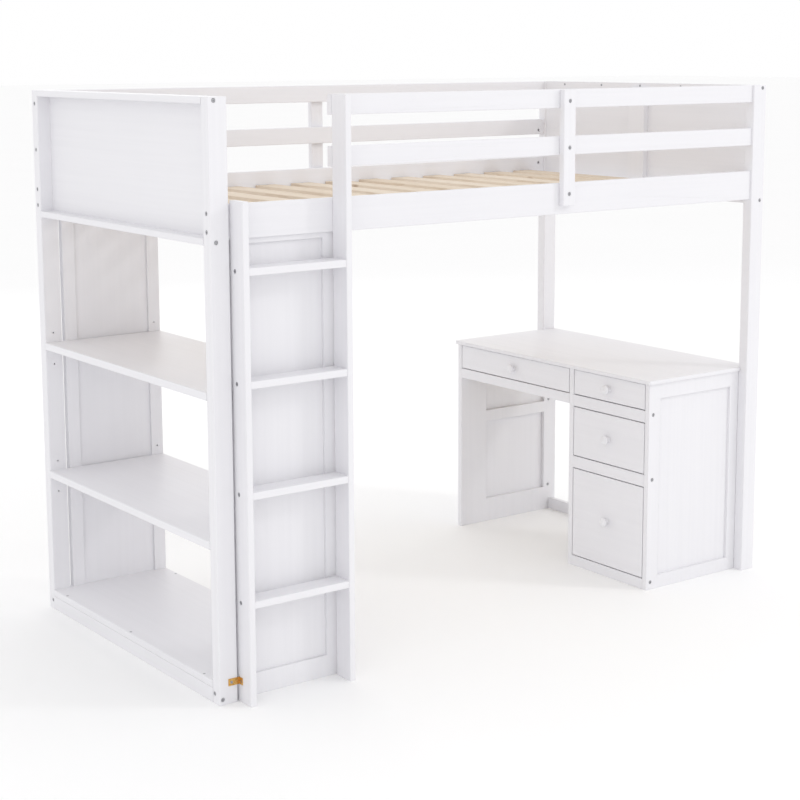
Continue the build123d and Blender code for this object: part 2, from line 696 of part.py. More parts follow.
for side in (FRONT, REAR):
    frame_y = (post_inner[side], unit_frame_outer[side])

    with BuildPart() as unit_frame:
        board((unit_left, unit_right), frame_y, (0, SIDE_RAIL_HEIGHTS[0]))
        fillet(unit_frame.edges().filter_by(Axis.Z).group_by(Axis.X)[-1], BOARD_EASE)
        board(
            (unit_left + UNIT_STILE_WIDTH, unit_right - UNIT_STILE_WIDTH),
            frame_y,
            (UNIT_BOTTOM_RAIL, SIDE_RAIL_HEIGHTS[0] - UNIT_TOP_RAIL),
            mode=Mode.SUBTRACT,
        )
        board((-rail_end, unit_left), frame_y, (0, UNIT_BOTTOM_RAIL))
        board(infill_x, unit_infill_y[side], infill_z, mode=Mode.SUBTRACT)
        drill_for_bolts(unit_seats[side], long_bolt_length)
        drill_for_nuts(rail_mouths[side]["unit"], FRAME_THICKNESS / 2)
        with Locations(*pin_hole_mouths(from_left(FRAME_PIN_FROM_LEFT), side)):
            Hole(PIN_RADIUS, PIN_HOLE_DEPTH)
    save(unit_frame, f"shelf_{SIDE_NAMES[side]}_frame")

    with BuildPart() as unit_infill:
        board(infill_x, unit_infill_y[side], infill_z)
    save(unit_infill, f"shelf_{SIDE_NAMES[side]}_infill")

for name, bottom in (("upper", UPPER_SHELF_BOTTOM), ("lower", LOWER_SHELF_BOTTOM)):
    with BuildPart() as shelf:
        board((-half_length, unit_right), between_posts, (bottom, bottom + SHELF_THICKNESS))
        fillet(shelf.edges().filter_by(Axis.Y), EDGE_EASE)
    save(shelf, f"shelf_{name}")

with BuildPart() as shelf_bottom_board:
    board((-half_length, unit_right), between_posts, BOTTOM_BOARD_HEIGHTS)
    fillet(shelf_bottom_board.edges().filter_by(Axis.Y), EDGE_EASE)
    drill_for_screws(board_seats, SCREW_LENGTH)
save(shelf_bottom_board, "shelf_bottom_board")

with BuildPart() as shelf_end_rails:
    for start in skirt_starts:
        board((start, start + SKIRT_THICKNESS), between_posts, (0, BOTTOM_BOARD_HEIGHTS[0]))
    fillet(shelf_end_rails.edges().filter_by(Axis.Y), BOARD_EASE)
    drill_for_bolts(skirt_seats, short_bolt_length)
    drill_for_nuts(skirt_mouths, SKIRT_THICKNESS / 2)
    drill_for_screws(board_seats, SCREW_LENGTH)
save(shelf_end_rails, "shelf_end_rails")

with BuildPart() as shelf_pins:
    for x, side in product((from_left(POST_PIN_FROM_LEFT), from_left(FRAME_PIN_FROM_LEFT)), (FRONT, REAR)):
        for bottom in (LOWER_SHELF_BOTTOM, UPPER_SHELF_BOTTOM):
            pin_start = (x, post_inner[side] + side * (PIN_HOLE_DEPTH - PIN_END_PLAY), bottom - PIN_RADIUS)
            with BuildSketch(Plane(origin=pin_start, z_dir=(0, -side, 0))):
                Circle(PIN_RADIUS - PIN_SIDE_PLAY)
            extrude(amount=PIN_HOLE_DEPTH - PIN_END_PLAY + PIN_REACH)
save(shelf_pins, "shelf_pins")

# ---------------------------------------------------------------- desk

divider = (from_front(DIVIDER_FROM_FRONT[0]), from_front(DIVIDER_FROM_FRONT[1]))
post_front_edge = rail_end - DESK_TOP_NOTCH_GAP

with BuildPart() as desk_top:
    board(
        (from_left(DESK_TOP_FROM_LEFT), post_front_edge),
        (post_inner[FRONT] - DESK_TOP_SIDE_OVERHANG, post_inner[REAR] + DESK_TOP_SIDE_OVERHANG),
        DESK_TOP_HEIGHTS,
    )
    fillet(desk_top.edges().filter_by(Axis.Z).group_by(Axis.X)[0], DESK_TOP_CORNER)
    board((post_front_edge, half_length), between_posts, DESK_TOP_HEIGHTS)
    fillet(desk_top.faces().sort_by(Axis.Z)[-1].edges(), DESK_TOP_EASE)
save(desk_top, "desk_top")

rear_side_y = (post_inner[REAR], desk_side_inner[REAR])
rear_side_openings = [
    (lower[1], upper[0]) for lower, upper in zip(REAR_SIDE_RAILS[:-1], REAR_SIDE_RAILS[1:])
]
rear_opening_x = (desk_front + REAR_SIDE_FRONT_STILE, desk_back - REAR_SIDE_BACK_STILE)
rear_infill_start = desk_side_inner[REAR] + REAR_SIDE_INFILL_SETBACK
rear_infill_y = (rear_infill_start, rear_infill_start + REAR_SIDE_INFILL_THICKNESS)


def widened(limits):
    """Limits of an opening, widened by the tongue of the infill at both ends."""
    return (limits[0] - TONGUE, limits[1] + TONGUE)


with BuildPart() as desk_rear_side_frame:
    board((desk_front, desk_back), rear_side_y, (0, DESK_TOP_HEIGHTS[0]))
    fillet(desk_rear_side_frame.edges().filter_by(Axis.Z).group_by(Axis.X)[0], BOARD_EASE)
    for opening in rear_side_openings:
        board(rear_opening_x, rear_side_y, opening, mode=Mode.SUBTRACT)
        board(widened(rear_opening_x), rear_infill_y, widened(opening), mode=Mode.SUBTRACT)
    drill_for_bolts(desk_side_seats[REAR] + desk_post_seats[REAR], DESK_BOLT_LENGTH)
save(desk_rear_side_frame, "desk_rear_side_frame")

with BuildPart() as desk_rear_side_infill:
    for opening in rear_side_openings:
        board(widened(rear_opening_x), rear_infill_y, widened(opening))
save(desk_rear_side_infill, "desk_rear_side_infill")

outer_side_y = (post_inner[FRONT], desk_side_inner[FRONT])
outer_opening_x = (desk_front + OUTER_SIDE_FRONT_STILE, desk_back - OUTER_SIDE_BACK_STILE)
outer_opening_z = (OUTER_SIDE_RAILS[0][1], OUTER_SIDE_RAILS[1][0])
outer_infill_start = post_inner[FRONT] + INFILL_RECESS
outer_infill_y = (outer_infill_start, outer_infill_start + INFILL_THICKNESS)

with BuildPart() as pedestal_outer_frame:
    board((desk_front, desk_back), outer_side_y, (0, DESK_TOP_HEIGHTS[0]))
    fillet(pedestal_outer_frame.edges().filter_by(Axis.Z).group_by(Axis.X)[0], BOARD_EASE)
    board(outer_opening_x, outer_side_y, outer_opening_z, mode=Mode.SUBTRACT)
    board(widened(outer_opening_x), outer_infill_y, widened(outer_opening_z), mode=Mode.SUBTRACT)
    drill_for_bolts(desk_side_seats[FRONT] + desk_post_seats[FRONT], DESK_BOLT_LENGTH)
save(pedestal_outer_frame, "pedestal_outer_frame")

with BuildPart() as pedestal_outer_infill:
    board(widened(outer_opening_x), outer_infill_y, widened(outer_opening_z))
save(pedestal_outer_infill, "pedestal_outer_infill")

with BuildPart() as pedestal_inner_side:
    board((desk_front, desk_back), divider, (0, DESK_TOP_HEIGHTS[0]))
    fillet(pedestal_inner_side.edges().filter_by(Axis.Z).group_by(Axis.X)[0], BOARD_EASE)
save(pedestal_inner_side, "pedestal_inner_side")

front_rail_x = (desk_front, desk_front + FRONT_RAIL_DEPTH)

with BuildPart() as pedestal_front_rails:
    for heights in PEDESTAL_RAILS:
        board(front_rail_x, (desk_side_inner[FRONT], divider[0]), heights)
    fillet(pedestal_front_rails.edges().filter_by(Axis.Y).group_by(Axis.X)[0], BOARD_EASE)
    drill_for_bolts(desk_side_seats[FRONT], DESK_BOLT_LENGTH)
save(pedestal_front_rails, "pedestal_front_rails")

with BuildPart() as desk_apron_rail:
    board(front_rail_x, (divider[1], desk_side_inner[REAR]), APRON_HEIGHTS)
    fillet(desk_apron_rail.edges().filter_by(Axis.Y).group_by(Axis.X)[0], BOARD_EASE)
    drill_for_bolts(desk_side_seats[REAR], DESK_BOLT_LENGTH)
save(desk_apron_rail, "desk_apron_rail")

with BuildPart() as desk_rear_stretcher:
    board(
        (from_left(STRETCHER_FROM_LEFT[0]), from_left(STRETCHER_FROM_LEFT[1])),
        (divider[1], desk_side_inner[REAR]),
        (0, STRETCHER_TOP),
    )
save(desk_rear_stretcher, "desk_rear_stretcher")

with BuildPart() as pedestal_back:
    board(
        (from_left(PEDESTAL_BACK_FROM_LEFT[0]), from_left(PEDESTAL_BACK_FROM_LEFT[1])),
        (desk_side_inner[FRONT], divider[0]),
        (0, DESK_TOP_HEIGHTS[0]),
    )
save(pedestal_back, "pedestal_back")

# ---------------------------------------------------------------- drawers

pedestal_opening = (desk_side_inner[FRONT], divider[0])
wide_opening = (divider[1], desk_side_inner[REAR])
drawers = {
    "wide": (wide_opening, TOP_DRAWER_HEIGHTS),
    "top": (pedestal_opening, TOP_DRAWER_HEIGHTS),
    "middle": (pedestal_opening, MIDDLE_DRAWER_HEIGHTS),
    "bottom": (pedestal_opening, BOTTOM_DRAWER_HEIGHTS),
}

runner_x = (front_rail_x[1], from_left(RUNNER_BACK_FROM_LEFT))

with BuildPart() as drawer_runners:
    for opening, heights in drawers.values():
        runner_top = heights[0] + RUNNER_LIFT
        for edge, inward in ((opening[0], 1), (opening[1], -1)):
            board(runner_x, (edge, edge + inward * RUNNER_WIDTH), (runner_top - RUNNER_THICKNESS, runner_top))
save(drawer_runners, "drawer_runners")

drawer_front_x = (desk_front, desk_front + DRAWER_FRONT_THICKNESS)
box_x = (drawer_front_x[1], from_left(DRAWER_BACK_FROM_LEFT))


def make_drawer_front(name, opening, heights):
    """Makes a drawer's front with the hole for its knob's screw."""
    knob_centre = (drawer_front_x[1], sum(opening) / 2, sum(heights) / 2)
    with BuildPart() as drawer_front:
        board(drawer_front_x, (opening[0] + DRAWER_GAP, opening[1] - DRAWER_GAP), heights)
        fillet(drawer_front.faces().sort_by(Axis.X)[0].edges(), DRAWER_EASE)
        with Locations(Plane(origin=knob_centre, z_dir=(1, 0, 0))):
            Hole(KNOB_SCREW_HOLE_RADIUS, DRAWER_FRONT_THICKNESS)
    save(drawer_front, f"drawer_{name}_front")


def make_drawer_box(name, opening, heights):
    """Makes a drawer's box: two grooved sides, a floor that slides into them and a back that stands on it."""
    box_z = (heights[0] + RUNNER_LIFT + RUNNER_PLAY, heights[1] - DRAWER_TOP_DROP)
    floor_z = (box_z[0] + DRAWER_FLOOR_LIFT, box_z[0] + DRAWER_FLOOR_LIFT + DRAWER_FLOOR_THICKNESS)
    outside = (opening[0] + DRAWER_SIDE_GAP, opening[1] - DRAWER_SIDE_GAP)
    inside = (outside[0] + DRAWER_SIDE_THICKNESS, outside[1] - DRAWER_SIDE_THICKNESS)
    floor_y = (inside[0] - DRAWER_GROOVE, inside[1] + DRAWER_GROOVE)

    with BuildPart() as box_sides:
        for hand in (0, 1):
            board(box_x, (outside[hand], inside[hand]), box_z)
        board(box_x, floor_y, floor_z, mode=Mode.SUBTRACT)

    with BuildPart() as box_floor:
        board(box_x, floor_y, floor_z)

    with BuildPart() as box_back:
        board((box_x[1] - DRAWER_SIDE_THICKNESS, box_x[1]), inside, (floor_z[1], box_z[1]))

    save_glued([box_sides, box_floor, box_back], f"drawer_{name}_box")


def make_knob(name, opening, heights):
    """Makes a round knob, turned about a line out of the drawer's front, and the screw that holds it."""
    y = sum(opening) / 2
    z = sum(heights) / 2
    head_middle = (KNOB_REACH + KNOB_NECK_REACH) / 2
    head_half = (KNOB_REACH - KNOB_NECK_REACH) / 2

    with BuildPart() as knob:
        with BuildSketch(Plane(origin=(desk_front, y, z), x_dir=(-1, 0, 0), z_dir=(0, 0, 1))):
            with BuildLine():
                head = EllipticalCenterArc((head_middle, 0), head_half, KNOB_RADIUS, arc_size=KNOB_HEAD_TURN)
                neck = Line(head @ 1, (KNOB_NECK_REACH / 2, KNOB_NECK_RADIUS))
                foot = Line(neck @ 1, (0, KNOB_FOOT_RADIUS))
                face = Line(foot @ 1, (0, 0))
                Line(face @ 1, head @ 0)
            make_face()
        revolve(axis=Axis((desk_front, y, z), (-1, 0, 0)))
        with Locations(Plane(origin=(desk_front, y, z), z_dir=(1, 0, 0))):
            Hole(KNOB_SCREW_HOLE_RADIUS, KNOB_SCREW_DEPTH + HOLE_END_GAP)

    with BuildPart() as knob_screw:
        with BuildSketch(Plane(origin=(drawer_front_x[1], y, z), z_dir=(1, 0, 0))):
            Circle(KNOB_SCREW_HEAD_RADIUS)
        extrude(amount=KNOB_SCREW_HEAD)
        with BuildSketch(Plane(origin=(drawer_front_x[1], y, z), z_dir=(1, 0, 0))):
            Circle(KNOB_SCREW_RADIUS)
        extrude(amount=-DRAWER_FRONT_THICKNESS - KNOB_SCREW_DEPTH)

    save_glued([knob, knob_screw], f"drawer_{name}_knob")


for name, (opening, heights) in drawers.items():
    make_drawer_front(name, opening, heights)
    make_drawer_box(name, opening, heights)
    make_knob(name, opening, heights)

# ---------------------------------------------------------------- fasteners


def make_bolt(length):
    """Makes a bolt whose head stands on the XY plane, with its shank below it."""
    with BuildPart() as bolt:
        with BuildSketch():
            Circle(HEAD_RADIUS)
        extrude(amount=HEAD_THICKNESS)
        fillet(bolt.faces().sort_by(Axis.Z)[-1].edges(), HEAD_EASE)
        with BuildSketch(Plane.XY.offset(HEAD_THICKNESS)):
            RegularPolygon(SOCKET_RADIUS, 6)
        extrude(amount=-SOCKET_DEPTH, mode=Mode.SUBTRACT)
        with BuildSketch():
            Circle(BOLT_RADIUS)
        extrude(amount=-length)
    return bolt.part


def make_screw(length):
    """Makes a countersunk wood screw whose head is flush with the XY plane."""
    with BuildPart() as screw:
        with BuildSketch(Plane.XZ):
            Polygon(
                (0, 0),
                (SCREW_HEAD_RADIUS, 0),
                (SCREW_RADIUS, SCREW_RADIUS - SCREW_HEAD_RADIUS),
                (SCREW_RADIUS, SCREW_POINT - length),
                (0, -length),
                align=None,
            )
        revolve(axis=Axis.Z)
        with BuildSketch():
            Rectangle(2 * CROSS_HALF_LENGTH, 2 * CROSS_HALF_WIDTH)
            Rectangle(2 * CROSS_HALF_WIDTH, 2 * CROSS_HALF_LENGTH)
        extrude(amount=-CROSS_DEPTH, mode=Mode.SUBTRACT)
    return screw.part


def recessed(seats):
    """The floors of the counterbores at the seats."""
    return [seat.offset(-HEAD_RECESS) for seat in seats]


def both(by_side):
    """The seats of both sides, or both ends, in one list."""
    return [seat for seats in by_side.values() for seat in seats]


bolt_groups = (
    (along_seats, long_bolt_length),
    (across_seats, short_bolt_length),
    (both(baluster_seats), BALUSTER_BOLT_LENGTH),
    (both(step_seats), STEP_BOLT_LENGTH),
    (both(desk_side_seats), DESK_BOLT_LENGTH),
    (both(desk_post_seats), DESK_POST_BOLT_LENGTH),
)
bolts = [make_bolt(length) for seats, length in bolt_groups]

with BuildPart() as frame_bolts:
    for bolt, (seats, length) in zip(bolts, bolt_groups):
        with Locations(*recessed(seats)):
            add(bolt)
save(frame_bolts, "frame_bolts")

with BuildPart() as barrel_nut:
    Cylinder(NUT_RADIUS, NUT_LENGTH)
    with Locations(Plane.YZ):
        Cylinder(BOLT_RADIUS + NUT_BOLT_GAP, 2 * NUT_RADIUS, mode=Mode.SUBTRACT)

along_mouths = [mouth for side in (FRONT, REAR) for mouths in rail_mouths[side].values() for mouth in mouths]
across_mouths = both(end_top_mouths) + both(end_bottom_mouths)

with BuildPart() as barrel_nuts:
    with Locations(*[mouth.offset(-RAIL_THICKNESS / 2) for mouth in along_mouths + skirt_mouths]):
        add(barrel_nut.part)
    with Locations(*[mouth.offset(-end_rail_middle) for mouth in across_mouths]):
        add(barrel_nut.part)
save(barrel_nuts, "barrel_nuts")

stile_seats = stile_side_rail_seats + stile_mid_seats + stile_top_seats
all_panel_seats = [
    seat for end, z in product((LEFT, RIGHT), (end_top_z, end_bottom_z)) for seat in panel_seats(end, z)
]
screw_groups = (
    (slat_seats + both(cleat_seats) + board_seats + all_panel_seats, SCREW_LENGTH),
    (stile_seats, LONG_SCREW_LENGTH),
    (bracket_seats, BRACKET_SCREW_LENGTH),
)
screws = [make_screw(length) for seats, length in screw_groups]

with BuildPart() as wood_screws:
    for screw, (seats, length) in zip(screws, screw_groups):
        with Locations(*seats):
            add(screw)
save(wood_screws, "wood_screws")
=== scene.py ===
import json
import math

import bmesh
import bpy
from mathutils import Matrix, Vector


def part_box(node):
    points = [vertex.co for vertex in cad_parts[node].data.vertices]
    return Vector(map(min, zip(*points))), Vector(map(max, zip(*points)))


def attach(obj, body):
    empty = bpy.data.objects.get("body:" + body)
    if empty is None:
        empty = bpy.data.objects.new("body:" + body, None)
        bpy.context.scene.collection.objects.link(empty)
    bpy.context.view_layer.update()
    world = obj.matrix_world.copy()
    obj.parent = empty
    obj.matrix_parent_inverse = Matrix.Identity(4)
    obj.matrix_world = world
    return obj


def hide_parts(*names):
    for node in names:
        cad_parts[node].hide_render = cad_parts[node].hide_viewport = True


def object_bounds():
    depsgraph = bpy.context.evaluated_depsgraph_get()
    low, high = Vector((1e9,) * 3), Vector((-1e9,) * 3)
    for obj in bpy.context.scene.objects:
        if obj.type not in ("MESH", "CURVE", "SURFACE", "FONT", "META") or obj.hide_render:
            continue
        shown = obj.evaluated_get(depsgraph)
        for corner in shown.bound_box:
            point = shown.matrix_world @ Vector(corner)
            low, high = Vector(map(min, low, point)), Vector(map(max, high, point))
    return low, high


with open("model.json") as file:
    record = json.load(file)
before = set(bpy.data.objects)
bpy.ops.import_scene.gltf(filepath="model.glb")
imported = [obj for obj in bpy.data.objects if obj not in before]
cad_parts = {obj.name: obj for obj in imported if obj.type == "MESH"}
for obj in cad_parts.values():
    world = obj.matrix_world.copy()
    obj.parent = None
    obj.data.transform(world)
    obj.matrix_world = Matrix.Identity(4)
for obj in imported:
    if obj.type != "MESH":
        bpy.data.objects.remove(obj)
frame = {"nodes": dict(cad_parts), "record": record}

cad_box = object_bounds()

# ---------------------------------------------------------------- driving values (metres, degrees)

# Camera: its place in the bed's frame, its heading clockwise of +Y, its pitch below the horizon, and its lens
CAMERA_AT = (-3.1708, -4.2276, 1.6899)
CAMERA_YAW = 36.308
CAMERA_PITCH_DOWN = 8.883
CAMERA_ROLL = -0.21
CAMERA_LENS = 77.43
CAMERA_SENSOR = 36.0
CAMERA_SHIFT_DOWN = 0.10

# Studio: a white room's worth of even light, and three soft lamps as (place, size, watts)
FLOOR_SIZE = 160.0
FLOOR_COLOUR = (0.975, 0.975, 0.975)
FLOOR_TONE_SHIFT = 0.006
WORLD_COLOUR = (1.0, 0.998, 1.0, 1)
WORLD_STRENGTH = 1.0
LAMPS = {
    "key": ((4.2, -4.4, 4.6), 0.7, 52.0),
    "fill": ((-4.6, -4.8, 1.6), 3.0, 20.0),
    "back": ((2.2, 5.6, 3.6), 3.5, 25.0),
}

# Colours that vary over a surface, as (light, dark) pairs
PAINT = ((0.828, 0.822, 0.848), (0.817, 0.811, 0.838))
PINE_BOARD = ((0.80, 0.70, 0.585), (0.72, 0.60, 0.47))
PINE_RING = ((0.78, 0.67, 0.54), (0.55, 0.41, 0.28))
PLYWOOD = ((0.77, 0.67, 0.53), (0.68, 0.57, 0.42))
ZINC = ((0.50, 0.50, 0.52), (0.34, 0.34, 0.36))
YELLOW_ZINC = ((0.80, 0.50, 0.16), (0.58, 0.31, 0.08))

# Colours of marks. Those of streaks and flecks multiply the colour under them, and CLEAR leaves it as it is
PAINT_WORN = (0.70, 0.675, 0.66)
PAINT_STREAK = (0.972, 0.972, 0.974)
KNOT = (0.30, 0.17, 0.09)
PINE_FLECK = (0.93, 0.91, 0.88)
PLY_FLECK = (0.90, 0.87, 0.83)
STEEL_RUBBED = (0.85, 0.84, 0.82)
CLEAR = (1.0, 1.0, 1.0)

# How strongly the marks show, from 0 to 1
PAINT_STREAK_SHARE = 0.7
PAINT_WORN_SHARE = 0.5
PINE_RING_SHARE = 0.42
KNOT_SHARE = 0.6
FLECK_SHARE = 0.8
STEEL_RUBBED_SHARE = 0.4

# Patterns, in cells per metre: one number, or a pair for across and along the grain
FLOOR_CLOUDS = 0.7
PAINT_CLOUDS = 2.3
PAINT_DRAG = (70, 1.4)
PAINT_GRAIN = (240, 5)
PAINT_PEEL = 520
PAINT_WORN_PATCHES = 38
PINE_BOARDS = (9, 0.35)
PINE_FIBRE = (420, 9)
PINE_KNOTS = (13, 5.5)
PLY_FIGURE = (26, 3)
PLY_GRAIN = (300, 9)
STEEL_CLOUDS = 210
STEEL_SCRATCHES = (1600, 240)

# Growth rings: bands stretched along the grain, and the settings that make them wander
PINE_RING_STRETCH = (1, 0.10)
PINE_RING_BANDS = {"Scale": 22, "Distortion": 9, "Detail": 3, "Detail Scale": 1.2}

# Moves of two patterns, so that they don't follow the ones beside them
PINE_BOARDS_MOVED = (3.1, 0, 0)
PINE_KNOTS_MOVED = (0.4, 0.2, 0)

# The part of a noise's range, from 0 to 1, in which most of its values lie
NOISE_MIDDLE = (0.3, 0.7)

# Surface relief, as (strength, height) pairs
PAINT_PEEL_RELIEF = (0.10, 0.00015)
PAINT_GRAIN_RELIEF = (0.22, 0.0003)
PINE_RELIEF = (0.35, 0.0003)
PLY_RELIEF = (0.3, 0.0003)
STEEL_RELIEF = (0.15, 0.00008)

# Roughness, as (least, most) pairs, and how strongly a surface shines
PAINT_ROUGHNESS = (0.33, 0.47)
PINE_ROUGHNESS = (0.52, 0.72)
PLY_ROUGHNESS = (0.48, 0.66)
STEEL_ROUGHNESS = (0.24, 0.44)
FLOOR_ROUGHNESS = 0.95
PAINT_SHINE = 0.45
WOOD_SHINE = 0.35
FLOOR_SHINE = 0.1

# Edges: the radius to which they look rounded, and the turns (as cosines) at which wear begins and is full
PAINT_EDGE_RADIUS = 0.0016
STEEL_EDGE_RADIUS = 0.0003
EDGE_SAMPLES = 4
EDGE_BEGINS = 0.99
EDGE_FULL = 0.80

# Knobs: a turned outline, measured out from the drawer's front
KNOB_FOOT_RADIUS = 0.009
KNOB_FOOT_THICKNESS = 0.0012
KNOB_COVE_REACH = 0.0030
KNOB_COVE_RISE = 0.0006
KNOB_NECK_RADIUS = 0.0068
KNOB_NECK_START = 0.0052
KNOB_NECK_REACH = 0.008
KNOB_HEAD_TURN = 152
KNOB_HEAD_STEPS = 18
KNOB_SEGMENTS = 48

DRAWERS = ("wide", "top", "middle", "bottom")
AXES = "XYZ"

# ---------------------------------------------------------------- node helpers


class Shader:
    """A material's node tree, with short calls for the nodes used here."""

    def __init__(self, name):
        self.material = bpy.data.materials.new(name)
        self.material.use_nodes = True
        self.tree = self.material.node_tree
        self.bsdf = self.tree.nodes["Principled BSDF"]
        self.place = self.tree.nodes.new("ShaderNodeTexCoord").outputs["Object"]

    def add(self, kind, **settings):
        """Adds a node and sets its own properties."""
        node = self.tree.nodes.new(kind)
        for name, value in settings.items():
            setattr(node, name, value)
        return node

    def feed(self, socket, value):
        """Gives a socket a value, or links another node's output to it."""
        if isinstance(value, bpy.types.NodeSocket):
            self.tree.links.new(value, socket)
        else:
            socket.default_value = value

    def feed_all(self, node, values):
        """Feeds each of a node's sockets that the values name."""
        for name, value in values.items():
            self.feed(node.inputs[name], value)

    def drive(self, **values):
        """Feeds the surface shader's sockets, named with _ for each space."""
        self.feed_all(self.bsdf, {name.replace("_", " "): value for name, value in values.items()})

    def mapped(self, scale, offset=(0, 0, 0)):
        """The object's coordinates, scaled along each axis and then moved."""
        node = self.add("ShaderNodeMapping")
        self.feed_all(node, {"Vector": self.place, "Scale": scale, "Location": offset})
        return node.outputs["Vector"]

    def noise(self, vector, detail, roughness=0.5, distortion=0.0):
        """Soft noise with one cell for each unit of the vector."""
        node = self.add("ShaderNodeTexNoise")
        settings = {"Scale": 1.0, "Detail": detail, "Roughness": roughness, "Distortion": distortion}
        self.feed_all(node, {"Vector": vector} | settings)
        return node.outputs["Fac"]

    def spots(self, vector):
        """Distance to the nearest of some scattered points, one for each unit of the vector."""
        node = self.add("ShaderNodeTexVoronoi")
        self.feed_all(node, {"Vector": vector, "Scale": 1.0})
        return node.outputs["Distance"]

    def ramp(self, factor, *stops):
        """A colour ramp through (position, colour) stops."""
        node = self.add("ShaderNodeValToRGB")
        elements = node.color_ramp.elements
        while len(elements) < len(stops):
            elements.new(0.5)
        for element, (position, colour) in zip(elements, stops):
            element.position = position
            element.color = (*colour, 1)
        self.feed(node.inputs["Fac"], factor)
        return node.outputs["Color"]

    def tones(self, factor, pair, start=0.35, end=0.65):
        """A colour that goes from the dark to the light one of a pair."""
        light, dark = pair
        return self.ramp(factor, (start, dark), (end, light))

    def level(self, factor, start, end, low, high):
        """Maps the range from start to end on to the range from low to high."""
        node = self.add("ShaderNodeMapRange")
        limits = {"From Min": start, "From Max": end, "To Min": low, "To Max": high}
        self.feed_all(node, {"Value": factor} | limits)
        return node.outputs["Result"]

    def math(self, operation, first, second):
        """Adds or multiplies two values, or does another sum that the node offers."""
        node = self.add("ShaderNodeMath", operation=operation)
        self.feed(node.inputs[0], first)
        self.feed(node.inputs[1], second)
        return node.outputs["Value"]

    def mix(self, factor, first, second, blend="MIX"):
        """Blends two colours."""
        node = self.add("ShaderNodeMix", data_type="RGBA", blend_type=blend)
        factor_socket, first_socket, second_socket = [socket for socket in node.inputs if socket.enabled]
        self.feed(factor_socket, factor)
        for socket, value in ((first_socket, first), (second_socket, second)):
            self.feed(socket, (*value, 1) if isinstance(value, tuple) else value)
        return [socket for socket in node.outputs if socket.enabled][0]

    def bump(self, height, relief, under=None):
        """The surface's direction with relief on it, on top of another direction if one is given."""
        node = self.add("ShaderNodeBump")
        strength, distance = relief
        self.feed_all(node, {"Height": height, "Strength": strength, "Distance": distance})
        if under is not None:
            self.feed(node.inputs["Normal"], under)
        return node.outputs["Normal"]

    def softened(self, radius):
        """The surface's direction, with its sharp edges rounded to a small radius."""
        node = self.add("ShaderNodeBevel", samples=EDGE_SAMPLES)
        node.inputs["Radius"].default_value = radius
        return node.outputs["Normal"]

    def edges(self, softened):
        """How near a point is to a sharp edge: 0 on a flat face and 1 on the edge."""
        turned = self.add("ShaderNodeVectorMath", operation="DOT_PRODUCT")
        self.feed(turned.inputs[0], softened)
        self.feed(turned.inputs[1], self.add("ShaderNodeNewGeometry").outputs["Normal"])
        return self.level(turned.outputs["Value"], EDGE_FULL, EDGE_BEGINS, 1.0, 0.0)


def evenly(scale):
    """A mapping scale that is the same along every axis."""
    return (scale,) * 3


def along(axis, scales):
    """A mapping scale that is coarse along one axis, the grain, and fine across it."""
    fine, coarse = scales
    return tuple(coarse if name == axis else fine for name in AXES)


# ---------------------------------------------------------------- materials


def white_paint(axis):
    """Satin white paint on planed wood: brush drag and a little grain along one axis, soft tone shifts,
    an orange-peel surface, and edges where the coat has thinned."""
    shader = Shader(f"white_paint_{axis}")
    cloud = shader.noise(shader.mapped(evenly(PAINT_CLOUDS)), detail=3)
    drag = shader.noise(shader.mapped(along(axis, PAINT_DRAG)), detail=4, roughness=0.55, distortion=0.3)
    grain = shader.noise(shader.mapped(along(axis, PAINT_GRAIN)), detail=3, roughness=0.6)
    peel = shader.noise(shader.mapped(evenly(PAINT_PEEL)), detail=1)
    streaks = shader.ramp(drag, (0.30, PAINT_STREAK), (0.62, CLEAR))
    coat = shader.mix(PAINT_STREAK_SHARE, shader.tones(cloud, PAINT), streaks, "MULTIPLY")
    patches = shader.noise(shader.mapped(evenly(PAINT_WORN_PATCHES)), detail=2)
    rounded = shader.softened(PAINT_EDGE_RADIUS)
    wear = shader.math(
        "MULTIPLY", shader.edges(rounded), shader.level(patches, 0.45, 0.7, 0.0, PAINT_WORN_SHARE)
    )
    relief = shader.bump(grain, PAINT_GRAIN_RELIEF, rounded)
    shader.drive(
        Base_Color=shader.mix(wear, coat, PAINT_WORN),
        Roughness=shader.level(shader.math("ADD", cloud, grain), 0.7, 1.3, *PAINT_ROUGHNESS),
        Specular_IOR_Level=PAINT_SHINE,
        Normal=shader.bump(peel, PAINT_PEEL_RELIEF, relief),
    )
    return shader.material


